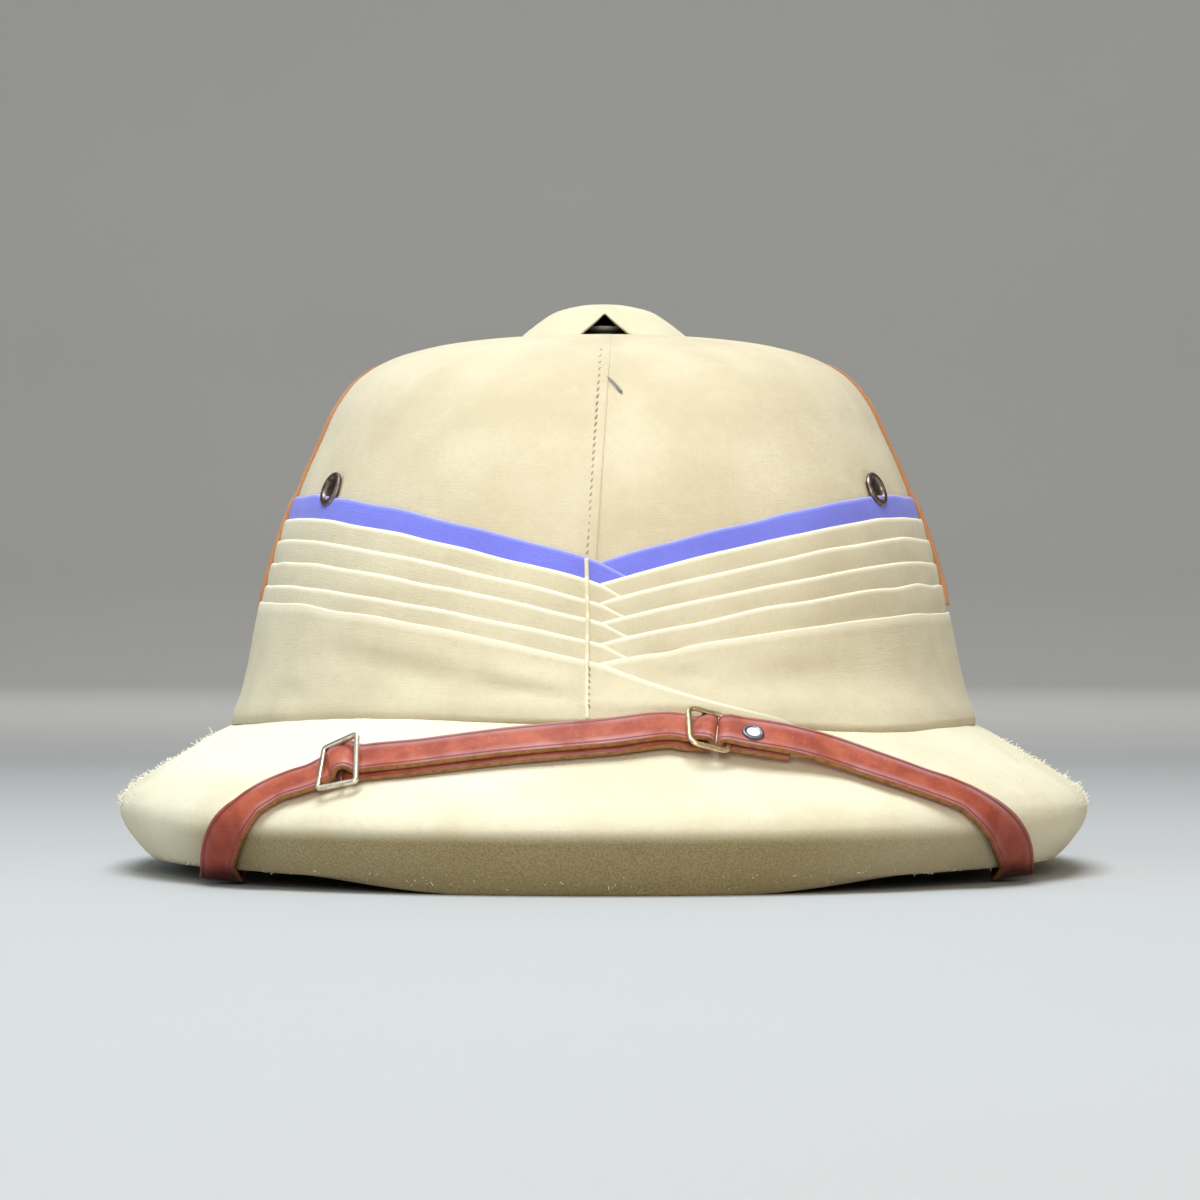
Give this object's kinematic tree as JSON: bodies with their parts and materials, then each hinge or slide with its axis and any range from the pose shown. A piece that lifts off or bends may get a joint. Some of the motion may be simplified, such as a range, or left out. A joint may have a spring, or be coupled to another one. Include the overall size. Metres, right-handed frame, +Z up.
{
  "type": "pith helmet",
  "caption": "Khaki pith helmet with a pleated cloth puggaree, blue stripe, ventilator cap, vent eyelets and a leather chin strap worn up over the brim",
  "frame": {"origin": "on the table under the middle of the brim, where the front and back of the brim rest", "axes": "+Z up, -Y the front of the helmet, +X to the right as seen from the front"},
  "size_m": [0.286, 0.352, 0.1676],
  "materials": {
    "khaki_cover": "brushed cotton cover, felt-like",
    "khaki_puggaree": "plain woven cotton, folded",
    "blue_cloth": "plain woven cotton",
    "tan_cloth": "woven tape",
    "strap_leather": "polished grain, raw tan edges",
    "brass": "worn, dulled",
    "plain_metal": "dull grey"
  },
  "bodies": {
    "root": {"crown": "khaki_cover", "brim": "khaki_cover", "ventilator_cap": "khaki_cover", "puggaree": "khaki_puggaree", "puggaree_end": "khaki_puggaree", "stripe": "blue_cloth", "side_band_left": "tan_cloth", "side_band_right": "tan_cloth", "chin_strap_left": "strap_leather", "chin_strap_right": "strap_leather", "buckle_left": "brass", "buckle_right": "brass", "eyelet_left": "brass", "eyelet_right": "brass", "strap_stud_left": "brass", "strap_stud_right": "brass", "ventilator_collar": "plain_metal", "rivet": "plain_metal"}
  },
  "joints": []
}
